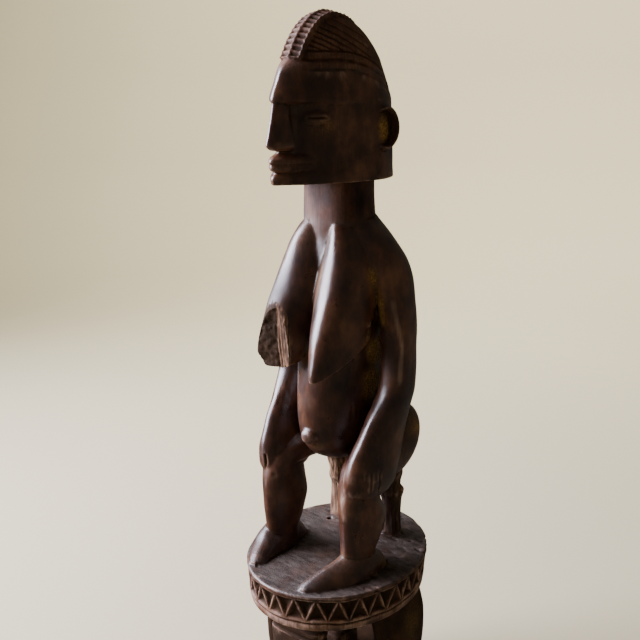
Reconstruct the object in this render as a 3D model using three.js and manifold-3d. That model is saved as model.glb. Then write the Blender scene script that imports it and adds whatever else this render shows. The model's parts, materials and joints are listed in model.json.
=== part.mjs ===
import * as THREE from 'three';
import { LoftGeometry } from 'three/addons/geometries/LoftGeometry.js';
import { mergeVertices } from 'three/addons/utils/BufferGeometryUtils.js';
import Module from 'manifold-3d';

// Seated woman on an oval stool seat, carved with its supports and base from one block of wood.
// Millimetres, +Z up. The figure faces -Y, and its left side is +X.
// The origin is under the middle of the base.

// Driving sizes of the stool
const BASE_HEIGHT = 26;
const SUPPORT_HEIGHT = 101;
const SEAT_THICK = 35;
const SEAT_HALF_WIDTH = 78;
const SEAT_HALF_LENGTH = 93.4;
const SEAT_TAPER = 0.96;
const BASE_HALF_WIDTH = 74;
const BASE_HALF_LENGTH = 89.5;
const FRONT_SUPPORT_X = -1.5;
const FRONT_SUPPORT_Y = -53;
const SIDE_SUPPORT_X = 60.5;
const SIDE_SUPPORT_Y = 9;
const SEAT_TOP = BASE_HEIGHT + SUPPORT_HEIGHT + SEAT_THICK;
const SEAT_UNDER = -SEAT_THICK;
const BASE_TOP = SEAT_UNDER - SUPPORT_HEIGHT;

// Driving heights of the figure, above the top of the seat
const KNEE = 84;
const HIP = 96;
const ELBOW = 160;
const ARMPIT = 222;
const NECK_FOOT = 304;
const JAW = 341;
const BROW = 402;
const HAIR_EDGE = 434;
const CROWN = 473;

// Steps of the surface that are flatter than this are left out
const SMALLEST_STEP = 0.08;

// Where the figure stands from the middle of the seat
const FIGURE_X = -3.8;
const FIGURE_Y = -2.8;

// Places of the limbs to each side of the middle plane
const LEG_X = 42;
const ARM_X = 55;
const POST_X = 29;
const POST_Y = 54;

// Breasts: the tip, and the rising line of their underside
const TIP_Y = -71;
const TIP_HEIGHT = 183;
const UNDER_SLOPE = Math.atan2(ARMPIT - 5 - TIP_HEIGHT, 3 - TIP_Y);

// Broken tip of the right breast: the middle of the break, and how its two faces lie
const BREAK_X = -23;
const BREAK_Y = -48.5;
const BREAK_HEIGHT = 205;
const BREAK_HALF_WIDTH = 60;
const BREAK_TURN = 0.15;
const BREAK_TILT = 0.16;

// Carved band around the seat, measured down from its top
const BAND_TOP = 4.5;
const BAND_FOOT = 25;
const ZIGZAG_PERIODS = 28;
const ZIGZAG_RIDGE = 1.5;
const ZIGZAG_DEPTH = 3;
const OVAL_SIDES = 2 * ZIGZAG_PERIODS;

// Hair
const CREST_HALF_WIDTH = 11;
const CREST_RISE = 3.2;
const CREST_FADE = 0.3;
// The crest's three ridges from one side to the other: share of the half width, share of
// the rise, and fall with the round of the head
const CREST_PROFILE = [
  [-1, 0, -8], [-0.9, 0.7, -2.2], [-0.45, 0.1, -0.9], [0, 1, 0], [0.45, 0.1, -0.9], [0.9, 0.7, -2.2], [1, 0, -8],
];
const BEAD_PITCH = 5.8;
const LOCK_COUNT = 7;
const LOCK_PITCH = 3.3;
const LOCK_SLOPE = -0.6;
const LOCK_TOP = 464;
const LOCK_END = 20;
const RIM_START = -57;
const RIM_END = 44;
const LOCK_GAP = 1.5;
const GROOVE_HALF_WIDTH = 1.3;
const GROOVE_DEPTH = 1.7;
const RIM_BAND = 9;

// Face and ears, above the top of the seat
const NOSE_FOOT = 369;
const MOUTH = 357;
const EYE_HEIGHT = 391;
const EYE_Y = -50;
const EYE_LONG = 11;
const EYE_TALL = 5;
const EYE_RISE = 3;
const EYE_SLIT = 1.4;
const EAR_X = 42;
const EAR_Y = 8;
const EAR_HEIGHT = 382;
const EAR_DEEP = 13;
const EAR_TALL = 17.5;
const EAR_RIM = 5;
const EAR_THICK = 9;
const EAR_FLARE = 0.35;
const EAR_OPEN = 0.7;

const WOOD = new THREE.MeshStandardMaterial({ color: 0x3b2519, roughness: 0.5, metalness: 0 });

const wasm = await Module();
wasm.setup();

function solid(geometry) {
  const bare = geometry.index ? geometry.toNonIndexed() : geometry.clone();
  bare.deleteAttribute('normal');
  bare.deleteAttribute('uv');
  const merged = mergeVertices(bare, 1e-4);
  return new wasm.Manifold(new wasm.Mesh({
    numProp: 3,
    vertProperties: new Float32Array(merged.attributes.position.array),
    triVerts: new Uint32Array(merged.index.array),
  }));
}

function join(parts) {
  return parts.reduce((whole, part) => whole.add(part));
}

// A section is a rounded outline. x, y: where it is widest; wide: half its width;
// front, back: how far it reaches; sharp, blunt: powers of the front and the back
// curve, where 2 is round, less is pointed and more is square; lean: side shift of the front.
const PLAIN = { x: 0, y: 0, wide: 10, front: -10, back: 10, sharp: 2, blunt: 2, lean: 0 };

function signedPower(value, power) {
  return Math.sign(value) * Math.abs(value) ** power;
}

function sectionPoint(section, angle) {
  const cos = Math.cos(angle);
  const sin = Math.sin(angle);
  const power = 2 / (sin < 0 ? section.sharp : section.blunt);
  const reach = sin < 0 ? section.y - section.front : section.back - section.y;
  const depth = signedPower(sin, power);
  const lean = depth < 0 ? -depth * section.lean : 0;
  return [section.x + lean + section.wide * signedPower(cos, power), section.y + reach * depth];
}

// The section at one place along a row of keys, on smooth curves through them
function sectionAt(keys, along) {
  const last = keys.length - 2;
  let i = keys.findIndex((key, k) => k <= last && (along - key.at) * (along - keys[k + 1].at) <= 0);
  i = i < 0 ? last : i;
  const [a, b] = [keys[i], keys[i + 1]];
  const before = keys[Math.max(i - 1, 0)];
  const after = keys[Math.min(i + 2, keys.length - 1)];
  const step = b.at - a.at;
  const t = (along - a.at) / step;
  const section = { at: along };
  for (const name of Object.keys(PLAIN)) {
    const value = (key) => key[name] ?? PLAIN[name];
    const inSlope = (value(b) - value(before)) / (b.at - before.at) * step;
    const outSlope = (value(after) - value(a)) / (after.at - a.at) * step;
    section[name] = value(a) * (2 * t ** 3 - 3 * t ** 2 + 1) + inSlope * (t ** 3 - 2 * t ** 2 + t)
      + value(b) * (3 * t ** 2 - 2 * t ** 3) + outSlope * (t ** 3 - t ** 2);
  }
  return section;
}

const upward = (x, depth, along) => new THREE.Vector3(x, depth, SEAT_TOP + along);
const forward = (x, depth, along) => new THREE.Vector3(x, along, SEAT_TOP + depth);

// A limb lofted through its keys
function limb(keys, sides, place = upward) {
  const rings = keys.map((key) => Array.from({ length: sides }, (_, i) => {
    const [x, depth] = sectionPoint({ ...PLAIN, ...key }, i / sides * 2 * Math.PI);
    return place(x, depth, key.at);
  }));
  return solid(new LoftGeometry(rings, { closed: true, capStart: true, capEnd: true }));
}

// The same keys moved to the left or right side of the figure
function onSide(side, keys) {
  return keys.map((key) => ({ ...key, x: side * (key.x ?? 0), lean: side * (key.lean ?? 0) }));
}

// Body
function torso() {
  return limb([
    { at: HIP - 5, y: 12, wide: 14, front: -5, back: 30 },
    { at: HIP + 2, y: 8, wide: 20, front: -20, back: 38 },
    { at: 108, y: 4, wide: 23.5, front: -31, back: 42 },
    { at: 122, y: 10, wide: 29, front: -36, back: 38, blunt: 2.4 },
    { at: 145, y: 15, wide: 32.5, front: -38, back: 38, blunt: 2.8 },
    { at: 172, y: 18, wide: 34.5, front: -36, back: 40, blunt: 3 },
    { at: 200, y: 16, wide: 36.5, front: -32, back: 40, blunt: 3 },
    { at: ARMPIT + 3, y: 9, wide: 40, front: -28, back: 40, blunt: 2.6 },
    { at: 255, y: 8, wide: 43, front: -26, back: 40, blunt: 2.2 },
    { at: 278, y: 9, wide: 38, front: -23.5, back: 40 },
    { at: 292, y: 9, wide: 32, front: -20.5, back: 39 },
    { at: NECK_FOOT + 4, y: 9, wide: 29.5, front: -20, back: 38, sharp: 2.6 },
    { at: 326, y: 9, wide: 28, front: -19, back: 37, sharp: 3 },
    { at: JAW + 6, y: 9, wide: 28, front: -19, back: 37, sharp: 3 },
  ], 16);
}

function navel() {
  const knob = new THREE.SphereGeometry(7.2, 8, 6);
  knob.scale(1, 1.25, 1);
  knob.translate(0, -34, SEAT_TOP + 121.5);
  return solid(knob);
}

// Long hanging breast with a rounded ridge down its front and a flat, rising underside.
// drop: how much lower it hangs; spread: how far its lower end stands out to the side
function breast(side, drop, spread) {
  const body = limb(onSide(side, [
    { at: 172 - drop, x: 26 + spread, y: -32, wide: 11 + drop / 4, front: -64, back: -12, sharp: 1.7, lean: 1 },
    { at: 186 - drop, x: 26 + spread, y: -28, wide: 16.5 + drop / 4, front: -70.5, back: 0, sharp: 1.7, lean: 2 },
    { at: 200 - drop, x: 25 + spread, y: -22, wide: 21, front: -68, back: 0, sharp: 1.7, lean: 3 },
    { at: 215 - drop, x: 23 + spread, y: -15, wide: 23.5, front: -63, back: 0, sharp: 1.65, lean: 5 },
    { at: 234, x: 19, y: -8, wide: 26, front: -54.5, back: 10, sharp: 1.6, lean: 9 },
    { at: 252, x: 16, y: -2, wide: 28, front: -45.5, back: 10, sharp: 1.6, lean: 11 },
    { at: 270, x: 15, y: 0, wide: 25, front: -37.5, back: 10, sharp: 1.65, lean: 10 },
    { at: 286, x: 15, y: 0, wide: 19, front: -31, back: 10, sharp: 1.7, lean: 7 },
    { at: 298, x: 14, y: 0, wide: 13.5, front: -25, back: 10, sharp: 1.75, lean: 4 },
    { at: 308, x: 12, y: 2, wide: 9, front: -16, back: 10, sharp: 1.8 },
  ]), 12);
  const under = new THREE.BoxGeometry(80, 140, 60);
  under.translate(side * 25, 0, -30);
  under.rotateX(UNDER_SLOPE);
  under.translate(0, TIP_Y, SEAT_TOP + TIP_HEIGHT - drop);
  return body.subtract(solid(under));
}

// The right breast's lost tip: two broken faces that meet in an upright hollow
function breakCutter() {
  const rise = BREAK_HALF_WIDTH * Math.tan(BREAK_TURN);
  const wedge = new THREE.Shape([
    new THREE.Vector2(0, 0),
    new THREE.Vector2(-BREAK_HALF_WIDTH, -rise),
    new THREE.Vector2(-BREAK_HALF_WIDTH, -100),
    new THREE.Vector2(BREAK_HALF_WIDTH, -100),
    new THREE.Vector2(BREAK_HALF_WIDTH, -rise),
  ]);
  const cutter = new THREE.ExtrudeGeometry(wedge, { depth: 160, bevelEnabled: false });
  cutter.translate(0, 0, -80);
  cutter.rotateX(BREAK_TILT);
  cutter.translate(BREAK_X, BREAK_Y, SEAT_TOP + BREAK_HEIGHT);
  return solid(cutter);
}

function arm(side) {
  return limb(onSide(side, [
    { at: 73, x: 46, y: -8, wide: 12, front: -35, back: 14, sharp: 2.4, blunt: 2.4 },
    { at: 80, x: 46.5, y: -8, wide: 15, front: -42, back: 20, sharp: 2.2, blunt: 2.4 },
    { at: 90, x: 47, y: -8, wide: 16.5, front: -44, back: 25 },
    { at: 100, x: 47.5, y: -6, wide: 16.5, front: -42.5, back: 28 },
    { at: 112, x: 48.5, y: -3, wide: 15.5, front: -38, back: 30, sharp: 1.8 },
    { at: 125, x: 50.5, y: 1, wide: 14, front: -30, back: 32, sharp: 1.8 },
    { at: 142, x: 52, y: 8, wide: 14, front: -18, back: 35, sharp: 1.8 },
    { at: ELBOW, x: 54, y: 16, wide: 14, front: -4, back: 38, sharp: 2.1, lean: 1 },
    { at: 178, x: ARM_X, y: 18, wide: 14, front: 0, back: 38, sharp: 2.6, lean: 2 },
    { at: 200, x: ARM_X, y: 18, wide: 14, front: 1, back: 37, sharp: 2.8, lean: 2 },
    { at: ARMPIT, x: 54, y: 18, wide: 14.5, front: -1, back: 37, sharp: 2.6, lean: 2 },
    { at: 245, x: 50, y: 18, wide: 16, front: -4, back: 38, sharp: 2.1, lean: 2 },
    { at: 262, x: 45, y: 18, wide: 18, front: -6, back: 38, sharp: 1.8 },
    { at: 275, x: 38, y: 17, wide: 20, front: -8, back: 37, sharp: 1.9 },
    { at: 286, x: 29, y: 15, wide: 21.5, front: -10, back: 36 },
    { at: 297, x: 20, y: 13, wide: 21, front: -12, back: 35 },
    { at: NECK_FOOT + 4, x: 12, y: 11, wide: 17, front: -12, back: 34 },
  ]), 12);
}

// Thigh and buttock, from the back to the knee
function thigh(side) {
  return limb(onSide(side, [
    { at: 71, x: 32, y: 114, wide: 9, front: 104, back: 124 },
    { at: 65, x: 32, y: 112, wide: 18, front: 92, back: 131 },
    { at: 53, x: 32, y: 108, wide: 25, front: 77, back: 134 },
    { at: 38, x: 32, y: 103, wide: 26, front: 67, back: 130 },
    { at: 20, x: 34, y: 99, wide: 22, front: 78, back: 117 },
    { at: 0, x: 37, y: 96, wide: 19, front: 80, back: 111 },
    { at: -16, x: 40, y: 92, wide: 17, front: 77, back: 107 },
    { at: -28, x: 42, y: 87, wide: 14.5, front: 72, back: 101 },
    { at: -37, x: 42, y: KNEE, wide: 8, front: 75, back: 94 },
  ]), 12, forward);
}

// calf, shin: how much fuller the leg is behind and in front
function lowerLeg(side, calf, shin) {
  return limb(onSide(side, [
    { at: -3, x: LEG_X, y: -20, wide: 13.5, front: -39, back: -5 },
    { at: 16, x: LEG_X, y: -21, wide: 13.5, front: -40 - shin / 2, back: -6 + calf / 3, sharp: 1.7 },
    { at: 34, x: LEG_X, y: -17, wide: 16, front: -41 - shin, back: calf, sharp: 1.7 },
    { at: 50, x: LEG_X, y: -15, wide: 18, front: -42 - shin, back: 4 + calf, sharp: 1.7 },
    { at: 66, x: LEG_X, y: -17, wide: 17, front: -43 - shin, back: 2, sharp: 1.8 },
    { at: KNEE - 4, x: LEG_X, y: -19, wide: 16, front: -41 - shin / 2, back: 0 },
    { at: 94, x: LEG_X, y: -20, wide: 13, front: -36, back: -3 },
    { at: 101, x: LEG_X, y: -18, wide: 8, front: -27, back: -8 },
  ]), 12);
}

function foot(side, heelX, toeX, toeY) {
  return limb(onSide(side, [
    { at: 7, x: heelX, y: 0, wide: 7, front: -4, back: 5 },
    { at: 3, x: heelX, y: 0, wide: 12, front: -4, back: 11 },
    { at: -9, x: heelX, y: 0, wide: 15, front: -4, back: 20 },
    { at: -28, x: heelX - 1, y: 0, wide: 16, front: -4, back: 26, blunt: 1.7 },
    { at: -44, x: (heelX + toeX) / 2 + 4, y: 0, wide: 15, front: -4, back: 18.5, blunt: 1.6 },
    { at: toeY + 19, x: toeX + 6, y: 0, wide: 12.5, front: -4, back: 12, blunt: 1.6 },
    { at: toeY + 7, x: toeX + 2, y: 0, wide: 9, front: -4, back: 7, blunt: 1.7 },
    { at: toeY, x: toeX, y: 0, wide: 4, front: -4, back: 3 },
  ]), 10, forward);
}

// Rough leg of the low stool under the figure. neck: how much narrower it is half way up
function post(side, neck) {
  return limb(onSide(side, [
    { at: -3, x: POST_X, y: POST_Y, wide: 11, front: POST_Y - 10, back: POST_Y + 9, sharp: 3 },
    { at: 12, x: POST_X, y: POST_Y, wide: 11.5 - neck, front: POST_Y - 9, back: POST_Y + 9, sharp: 3 },
    { at: 34, x: POST_X, y: POST_Y - 1, wide: 11.5 - neck, front: POST_Y - 10, back: POST_Y + 8, blunt: 3 },
    { at: 45, x: POST_X, y: POST_Y - 2, wide: 12, front: POST_Y - 14, back: POST_Y + 9, blunt: 3 },
    { at: 52, x: POST_X - 1, y: POST_Y - 3, wide: 11, front: POST_Y - 15, back: POST_Y + 6 },
    { at: 66, x: POST_X, y: POST_Y - 5, wide: 13, front: POST_Y - 17, back: POST_Y + 6 },
    { at: 80, x: POST_X, y: POST_Y - 8, wide: 13, front: POST_Y - 18, back: POST_Y + 1 },
  ]), 8);
}

// Head: a wedge in front, round behind, cut flat under the jaw and pointed above
const HEAD = [
  { at: JAW, y: 4, wide: 44, front: -79, back: 52, sharp: 1.3, blunt: 2.1 },
  { at: 347, y: 4, wide: 44, front: -80, back: 51, sharp: 1.3, blunt: 2.1 },
  { at: 352, y: 4, wide: 44, front: -74, back: 50, sharp: 1.3, blunt: 2.1 },
  { at: 376, y: 4, wide: 43.5, front: -72, back: 49, sharp: 1.3, blunt: 2.1 },
  { at: BROW - 1, y: 4, wide: 42.5, front: -72, back: 48, sharp: 1.32, blunt: 2.1 },
  { at: BROW + 1.5, y: 4, wide: 42.5, front: -79.5, back: 47.5, sharp: 1.36, blunt: 2.1 },
  { at: 418, y: 4, wide: 39, front: -73, back: 42.5, sharp: 1.42, blunt: 2.05 },
  { at: HAIR_EDGE - 6, y: 3, wide: 36, front: -67.5, back: 39.5, sharp: 1.48, blunt: 2 },
  { at: HAIR_EDGE + 1, y: 3, wide: 33.5, front: -59, back: 37.5, sharp: 1.65, blunt: 2 },
  { at: 447, y: 1, wide: 27.5, front: -51, back: 31, sharp: 1.75, blunt: 2 },
  { at: 457, y: -3, wide: 20, front: -42, back: 24, sharp: 1.85, blunt: 2 },
  { at: 465, y: -7, wide: 11.5, front: -31, back: 14, sharp: 1.9, blunt: 2 },
  { at: CROWN - 4, y: -11, wide: 4, front: -22, back: 3, sharp: 2, blunt: 2 },
];

// A place on the head's surface. Angles run from the front, at minus a quarter turn, to the back.
function headPoint(side, angle, at) {
  const [x, depth] = sectionPoint(sectionAt(HEAD, at), angle);
  return new THREE.Vector3(side * x, depth, SEAT_TOP + at);
}

// The direction that faces straight out of the head there
function headNormal(side, angle, at) {
  const step = 0.02;
  const around = headPoint(side, angle + step, at).sub(headPoint(side, angle - step, at));
  const up = headPoint(side, angle, at + 1).sub(headPoint(side, angle, at - 1));
  return around.cross(up).multiplyScalar(side).normalize();
}

// The angle at which the head is a given depth from front to back
function headAngle(depth, at) {
  const section = sectionAt(HEAD, at);
  const front = depth < section.y;
  const reach = front ? section.front - section.y : section.back - section.y;
  const share = Math.min((depth - section.y) / reach, 1);
  return (front ? -1 : 1) * Math.asin(share ** ((front ? section.sharp : section.blunt) / 2));
}

// A V groove cut along a route on the head, given as [depth, height] places
function headGroove(side, route) {
  const spots = route.map(([depth, at]) => [side, headAngle(depth, at), at]);
  const points = spots.map((spot) => headPoint(...spot));
  const rings = points.map((point, i) => {
    const ahead = points[Math.min(i + 1, points.length - 1)];
    const behind = points[Math.max(i - 1, 0)];
    const along = ahead.clone().sub(behind).normalize();
    const out = headNormal(...spots[i]);
    const across = along.clone().cross(out).multiplyScalar(2 * GROOVE_HALF_WIDTH);
    const lip = point.clone().addScaledVector(out, GROOVE_DEPTH);
    const floor = point.clone().addScaledVector(out, -GROOVE_DEPTH);
    return [floor, lip.clone().sub(across), lip.clone().add(across)];
  });
  return solid(new LoftGeometry(rings, { closed: true, capStart: true, capEnd: true }));
}

// Height of the hair's lower edge at a place front to back
function hairEdge(depth) {
  return HAIR_EDGE + 4 - 0.0068 * Math.max(depth + 30, 0) ** 2;
}

function row(count, from, to) {
  return Array.from({ length: count }, (_, i) => from + (to - from) * i / (count - 1));
}

// Grooves that bound the rim of the hair and its band, and slanting locks above them
function hairGrooves(side) {
  const rim = [0, 1].map((band) =>
    headGroove(side, row(6, RIM_START, RIM_END - 12 * band).map((y) => [y, hairEdge(y) - band * RIM_BAND])));
  const locks = row(LOCK_COUNT, LOCK_TOP, LOCK_TOP - (LOCK_COUNT - 1) * LOCK_PITCH).map((top) => {
    const start = crestEdge(top);
    const heightAt = (y) => top + LOCK_SLOPE * (y - start);
    const end = row(50, start, LOCK_END).filter((y) => heightAt(y) > hairEdge(y) + LOCK_GAP).at(-1);
    return headGroove(side, row(3, start, end).map((y) => [y, heightAt(y)]));
  });
  return [...rim, ...locks];
}

// Where the crest's side meets the head at a height
function crestEdge(height) {
  const section = sectionAt(HEAD, height);
  const share = Math.min(CREST_HALF_WIDTH / section.wide, 1);
  return section.y - (section.y - section.front) * (1 - share ** section.sharp) ** (1 / section.sharp);
}

// Crest of three beaded plaits over the head, from the forehead to behind the crown
function crest() {
  const spine = row(8, HAIR_EDGE + 1, CROWN - 7).map((height) =>
    new THREE.Vector2(sectionAt(HEAD, height).front, height));
  spine.push(new THREE.Vector2(-13, CROWN - 3.5));
  for (const height of row(3, CROWN - 8, CROWN - 18)) {
    spine.push(new THREE.Vector2(sectionAt(HEAD, height).back - 0.5, height));
  }
  const curve = new THREE.SplineCurve(spine);
  const beads = Math.round(curve.getLength() / BEAD_PITCH);
  const rings = row(2 * beads + 1, 0, 2 * beads).map((i) => {
    const share = i / (2 * beads);
    const at = curve.getPointAt(share);
    const tangent = curve.getTangentAt(share);
    const fade = Math.min(1, (1 - share) / CREST_FADE + 0.1);
    const rise = CREST_RISE * fade * (i % 2 ? 1 : 0.4);
    return CREST_PROFILE.map(([across, up, fall]) => {
      const lift = up * rise + fall;
      const x = across * CREST_HALF_WIDTH * (0.6 + 0.4 * fade);
      return new THREE.Vector3(x, at.x - tangent.y * lift, SEAT_TOP + at.y + tangent.x * lift);
    });
  });
  return solid(new LoftGeometry(rings, { closed: true, capStart: true, capEnd: true }));
}

// Ear: a raised rim, open towards the face
function ear(side) {
  const open = EAR_OPEN;
  const rim = new THREE.Shape();
  rim.absellipse(0, 0, EAR_DEEP, EAR_TALL, open - Math.PI, Math.PI - open, false);
  rim.absellipse(0, 0, EAR_DEEP - EAR_RIM, EAR_TALL - EAR_RIM, Math.PI - open, open - Math.PI, true);
  const lobe = new THREE.ExtrudeGeometry(rim, { depth: EAR_THICK, bevelEnabled: false, curveSegments: 7 });
  lobe.translate(0, 0, -EAR_THICK / 2);
  // The shape's x runs to the back, its y up and its depth out to the figure's left
  lobe.applyMatrix4(new THREE.Matrix4().makeBasis(
    new THREE.Vector3(0, 1, 0), new THREE.Vector3(0, 0, 1), new THREE.Vector3(1, 0, 0)));
  lobe.rotateZ(-side * EAR_FLARE);
  lobe.translate(side * EAR_X, EAR_Y, SEAT_TOP + EAR_HEIGHT);
  return solid(lobe);
}

// Face: a plain long nose, lidded eyes and a straight mouth, on even thirds of brow, nose and jaw
function nose() {
  return limb([
    { at: NOSE_FOOT - 2, y: -66, wide: 8, front: -79, back: -58, sharp: 1.8 },
    { at: NOSE_FOOT + 1, y: -66, wide: 10, front: -86, back: -58, sharp: 1.5 },
    { at: NOSE_FOOT + 9, y: -66, wide: 8.5, front: -84.5, back: -58, sharp: 1.6 },
    { at: NOSE_FOOT + 22, y: -66, wide: 6.5, front: -81, back: -58, sharp: 1.7 },
    { at: BROW + 2, y: -66, wide: 6.5, front: -78, back: -58, sharp: 1.7 },
  ], 10);
}

function mouth() {
  return limb([
    { at: MOUTH - 7, y: -48, wide: 17, front: -74, back: -40, sharp: 1.3 },
    { at: MOUTH - 5, y: -48, wide: 19.5, front: -80, back: -40, sharp: 1.35 },
    { at: MOUTH - 1, y: -48, wide: 20, front: -81.5, back: -40, sharp: 1.35 },
    { at: MOUTH, y: -48, wide: 18.5, front: -77.5, back: -40, sharp: 1.3 },
    { at: MOUTH + 1, y: -48, wide: 20, front: -82, back: -40, sharp: 1.35 },
    { at: MOUTH + 4.5, y: -48, wide: 19.5, front: -80.5, back: -40, sharp: 1.35 },
    { at: MOUTH + 7, y: -48, wide: 17, front: -74, back: -40, sharp: 1.3 },
  ], 10);
}

function eye(side) {
  const angle = headAngle(EYE_Y, EYE_HEIGHT);
  const out = headNormal(side, angle, EYE_HEIGHT);
  const along = new THREE.Vector3(0, 0, 1).cross(out).normalize();
  const place = new THREE.Matrix4().makeBasis(along, out, along.clone().cross(out));
  place.setPosition(headPoint(side, angle, EYE_HEIGHT));
  const lid = new THREE.SphereGeometry(1, 8, 5);
  lid.scale(EYE_LONG, EYE_RISE, EYE_TALL);
  lid.applyMatrix4(place);
  const slit = new THREE.BoxGeometry(EYE_LONG * 1.5, EYE_RISE, EYE_SLIT);
  slit.translate(0, EYE_RISE, 0);
  slit.applyMatrix4(place);
  return { lid: solid(lid), slit: solid(slit) };
}

function head() {
  const eyes = [1, -1].map(eye);
  const carved = [1, -1].flatMap(hairGrooves).reduce((whole, groove) => whole.subtract(groove), limb(HEAD, 24));
  const withFace = join([carved, nose(), mouth(), ...eyes.map(({ lid }) => lid)]);
  const cutEyes = eyes.reduce((whole, { slit }) => whole.subtract(slit), withFace);
  return join([cutEyes, crest(), ear(1), ear(-1)]);
}

// Stool: an oval seat with a zigzag band, three supports, a middle block and an oval base
function oval(halfWidth, halfLength, profile) {
  const disc = new THREE.LatheGeometry(profile.map(([r, at]) => new THREE.Vector2(r, SEAT_TOP + at)), OVAL_SIDES);
  disc.rotateX(Math.PI / 2);
  disc.scale(halfWidth, halfLength, 1);
  return solid(disc);
}

function seat() {
  return oval(SEAT_HALF_WIDTH, SEAT_HALF_LENGTH, [
    [0, SEAT_UNDER],
    [SEAT_TAPER, SEAT_UNDER],
    [SEAT_TAPER + 0.012, -BAND_FOOT - 1.5],
    [SEAT_TAPER - 0.004, -BAND_FOOT],
    [0.995, -BAND_TOP],
    [1, -1.4],
    [0.987, 0],
    [0, 0],
  ]);
}

// Sunk triangles, point up and point down by turns, that leave a zigzag ridge between them
function zigzagCutters() {
  const middle = (BAND_TOP + BAND_FOOT) / 2;
  const share = (SEAT_TAPER + 1) / 2;
  const ring = new THREE.EllipseCurve(0, 0, SEAT_HALF_WIDTH * share, SEAT_HALF_LENGTH * share);
  const width = ring.getLength() / ZIGZAG_PERIODS - 2 * ZIGZAG_RIDGE;
  const height = BAND_FOOT - BAND_TOP - 2 * ZIGZAG_RIDGE;
  return row(OVAL_SIDES, 0, OVAL_SIDES - 1).map((i) => {
    const at = ring.getPointAt((i + 0.5) / OVAL_SIDES);
    const out = new THREE.Vector3(at.x / SEAT_HALF_WIDTH ** 2, at.y / SEAT_HALF_LENGTH ** 2, 0).normalize();
    const side = out.clone().cross(new THREE.Vector3(0, 0, 1));
    const point = i % 2 ? -1 : 1;
    // A three-sided pyramid that points inwards: at the rim it is as wide and high as the triangle
    const pocket = new THREE.ConeGeometry(2, 2 * ZIGZAG_DEPTH, 3);
    pocket.rotateX(Math.PI);
    pocket.rotateY(point > 0 ? Math.PI : 0);
    pocket.scale(width / Math.sqrt(3), 1, height / 1.5);
    pocket.applyMatrix4(new THREE.Matrix4().makeBasis(side, out, side.clone().cross(out)));
    pocket.translate(at.x, at.y, SEAT_TOP - middle - point * height / 6);
    return solid(pocket);
  });
}

// Broad supports under the seat, bowed outwards, given as [height, bow, half across, half deep]
function support(x, y, keys) {
  return limb(keys.map(([at, bow, wide, deep]) => ({
    at, x: x * bow, y: y * bow, wide, front: y * bow - deep, back: y * bow + deep, sharp: 3, blunt: 3,
  })), 12);
}

function frontSupport() {
  return support(FRONT_SUPPORT_X, FRONT_SUPPORT_Y, [
    [BASE_TOP - 3, 1, 33, 12],
    [BASE_TOP + 14, 1.02, 30, 10],
    [-90, 1.06, 28, 10],
    [-61.5, 1.06, 29, 10.5],
    [-59, 1.06, 27.6, 9.2],
    [-56.5, 1.06, 29, 10.5],
    [-52.5, 1.06, 29, 10.5],
    [-50, 1.06, 27.6, 9.2],
    [-47.5, 1.06, 29, 10.5],
    [SEAT_UNDER + 4, 1, 31, 12],
  ]);
}

function sideSupport(side) {
  return support(side * SIDE_SUPPORT_X, SIDE_SUPPORT_Y, [
    [BASE_TOP - 3, 0.88, 11, 35],
    [BASE_TOP + 16, 0.98, 9.5, 35.5],
    [-84, 1.05, 9, 35.5],
    [-56, 1.03, 9.5, 36],
    [SEAT_UNDER + 4, 0.9, 11, 36],
  ]);
}

function middleBlock() {
  return limb([
    { at: BASE_TOP - 3, wide: 20, front: -21, back: 21, sharp: 2.6, blunt: 2.6 },
    { at: -96, wide: 17, front: -18, back: 18, sharp: 2.6, blunt: 2.6 },
    { at: -87, wide: 15.5, front: -16.5, back: 16.5, sharp: 2.6, blunt: 2.6 },
    { at: -82, wide: 10, front: -11, back: 11, sharp: 2.4, blunt: 2.4 },
  ], 12);
}

function base() {
  return oval(BASE_HALF_WIDTH, BASE_HALF_LENGTH, [
    [0, BASE_TOP - BASE_HEIGHT],
    [1, BASE_TOP - BASE_HEIGHT],
    [0.99, BASE_TOP - 2],
    [0.965, BASE_TOP],
    [0, BASE_TOP],
  ]);
}

export default (() => {
  const stool = join([
    zigzagCutters().reduce((whole, pocket) => whole.subtract(pocket), seat()),
    frontSupport(), sideSupport(1), sideSupport(-1), middleBlock(), base(),
  ]);
  const woman = join([
    torso(), navel(), head(),
    breast(1, 0, 0), breast(-1, 14, 3).subtract(breakCutter()),
    lowerLeg(1, 8, 0), lowerLeg(-1, 0, 2.5),
    foot(1, 45, 26, -80), foot(-1, 46, 36, -72),
    post(1, 2.5), post(-1, 0.5),
    ...[1, -1].flatMap((side) => [arm(side), thigh(side)]),
  ]);
  const whole = stool.add(woman.translate([FIGURE_X, FIGURE_Y, 0])).simplify(SMALLEST_STEP);
  const mesh = whole.getMesh();
  const geometry = new THREE.BufferGeometry();
  geometry.setAttribute('position', new THREE.BufferAttribute(mesh.vertProperties, 3));
  geometry.setIndex(new THREE.BufferAttribute(mesh.triVerts, 1));
  geometry.computeVertexNormals();
  const figure = new THREE.Mesh(geometry, WOOD);
  figure.name = 'caryatid_figure';
  const group = new THREE.Group();
  group.add(figure);
  return group;
})();
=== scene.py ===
import json
import math

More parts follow.
